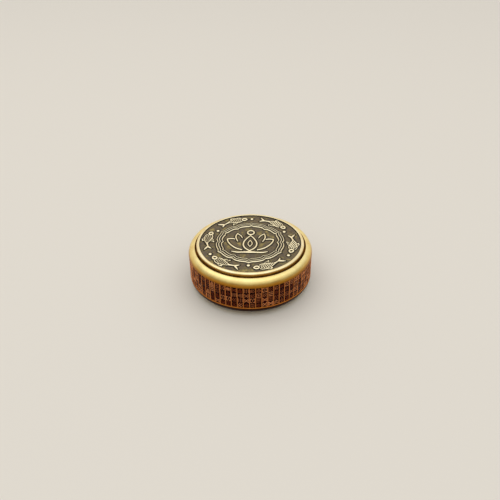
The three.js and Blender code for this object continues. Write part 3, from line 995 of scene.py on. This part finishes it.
def capProfile():
    sizes = capSizes
    crest, outer, inner = sizes["rimCrest"], sizes["outerDrop"], sizes["innerDrop"]
    edge, fillet = sizes["fieldRadius"], sizes["fillet"]
    hole, spigot, boss = sizes["studHoleRadius"], sizes["spigotRadius"], sizes["bossRadius"]
    end, bevel, under = sizes["spigotEnd"], sizes["spigotBevel"], sizes["undersideHeight"]
    profile = [(0, sizes["studHoleTop"]), (hole, sizes["studHoleTop"]), (hole, end), (spigot - bevel, end),
               (spigot, end + bevel), (spigot, sizes["bossEnd"]), (boss, sizes["bossEnd"]), (boss, under),
               (capRadius - sizes["undersideBevel"], under), (capRadius, under + sizes["undersideBevel"])]
    profile += arcPoints((crest, capTop - outer), (capRadius - crest, outer), 0, 90, 14)
    profile += arcPoints((crest, capTop - inner), (crest - edge, inner), 90, 175, 7)[1:]
    profile += arcPoints((edge - sizes["filletCentre"], fieldLevel + fillet), (fillet, fillet), 0, -90, 3)
    flat = edge - sizes["fieldMargin"]
    steps = int(flat / sizes["fieldStep"])
    return profile + [(flat * (1 - i / steps), fieldLevel) for i in range(steps + 1)]


capRelief = (capFrames, capEmblem, capFish, capPearls)
for piece in capRelief:
    moved(piece, z=fieldLevel)
relief = joinObjects("relief", [addObject("copy", piece.data.copy()) for piece in capRelief])
capBody = runTree(turnedObject("capBody", capProfile(), capSizes["segments"]), castField, {
    "Relief": relief, "Level": fieldLevel, "Field Radius": capSizes["fieldRadius"] + 0.05,
    "Unevenness": capSizes["unevenness"], "Patch": capSizes["unevenPatch"], "Reach": capSizes["creviceReach"],
    "Full": capSizes["creviceFull"], "Rim Material": rimBrass, "Material": castBrass}, "capBody")
print("cap:", len(capBody.data.polygons), "faces")

for side, turnedOver in (("top", False), ("bottom", True)):
    body = addObject(side + "CapBody", capBody.data.copy())
    pieces = [addObject(part.name.replace("top", side) + "Relief", part.data.copy()) for part in capRelief]
    for piece in (body, *pieces):
        piece.data.transform(Matrix.Rotation(patternTurn, 4, "Z"))
        settle(piece, "finger_caps", turnedOver)
    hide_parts(side + "_cap")
for part in (*capRelief, capBody):
    bpy.data.objects.remove(part)
print("both caps set")


# the hidden works keep their machined shapes and get their real finishes

slotOf = {entry["node"]: entry["material_slot"] for entry in frame["record"]["subparts"]}
for name, node in frame["nodes"].items():
    finish = hiddenFinishes.get(slotOf.get(name))
    if finish:
        node.data.materials.clear()
        node.data.materials.append(finish)


# floor, light and camera

stageLook = {
    "floorSize": 4.0,
    "floor": "#DDD8CF",
    # the room's brightness by height, from the shaded foot of its walls up to a wide bright ceiling
    "bands": ((0.0, "#646464"), (0.2, "#9A9A9A"), (0.42, "#DADADA"), (0.58, "#EEEEED"), (0.68, "#FDFDFC")),
    "backWall": "#F0E4CD",  # the cream wall behind the wheel is lit down to the floor
    "wallFrom": -0.45,  # how far round to the side the wall's light begins, and where it is full
    "wallTo": 0.75,
    "brightness": 1.0,
}
panel = {"place": (-0.05, 0.03, 0.6), "size": (0.6, 0.95), "power": 0.75, "colour": "#FFFBF2"}

half = stageLook["floorSize"] / 2
corners = [(-half, -half, 0), (half, -half, 0), (half, half, 0), (-half, half, 0)]
floor = meshObject("floor", corners, [(0, 1, 2, 3)])
floor.data.materials.append(plainFinish("paintedBoard", [stageLook["floor"]] * 2, 0.0, 0.6, 5.0))

world = bpy.data.worlds.new("softRoom")
world.use_nodes = True
add = partial(addNode, world.node_tree)
way = add("ShaderNodeSeparateXYZ", (add("ShaderNodeTexCoord").outputs["Generated"],)).outputs
room = add("ShaderNodeValToRGB", {"Fac": way["Z"]}, stops=stageLook["bands"])
behind = add("ShaderNodeMapRange", {"Value": way["Y"], 1: stageLook["wallFrom"], 2: stageLook["wallTo"]},
             interpolation_type="SMOOTHSTEP")
wall = add("ShaderNodeVectorMath", {0: linear(stageLook["backWall"])[:3], "Scale": behind}, operation="SCALE")
glow = add("ShaderNodeVectorMath", (room, wall), operation="MAXIMUM")
fillInputs(world.node_tree.nodes["Background"], {"Color": glow, "Strength": stageLook["brightness"]})
bpy.context.scene.world = world
bpy.context.scene.view_settings.view_transform = "Standard"

lamp = bpy.data.lights.new("overheadPanel", "AREA")
lamp.shape = "RECTANGLE"
lamp.size, lamp.size_y = panel["size"]
lamp.energy = panel["power"]
lamp.color = linear(panel["colour"])[:3]
overheadPanel = addObject("overheadPanel", lamp)
overheadPanel.location = panel["place"]
overheadPanel.rotation_euler = (-Vector(panel["place"])).to_track_quat("-Z", "Y").to_euler()

cameraSetup = {"lens": 38.55, "pitch": 34.832, "roll": 0.8153, "distance": 203.641, "right": -0.1086,
               "up": 10.272}
tilt = Matrix.Rotation(math.radians(90 - cameraSetup["pitch"]), 4, "X")
roll = Matrix.Rotation(math.radians(-cameraSetup["roll"]), 4, "Z")
eye = Vector((cameraSetup["right"], cameraSetup["up"], cameraSetup["distance"])) * mm  # before it is tilted
lens = bpy.data.cameras.new("camera")
lens.lens = cameraSetup["lens"]
lens.clip_start = 0.01
camera = addObject("camera", lens)
camera.matrix_world = tilt @ Matrix.Translation(eye) @ roll
bpy.context.scene.camera = camera
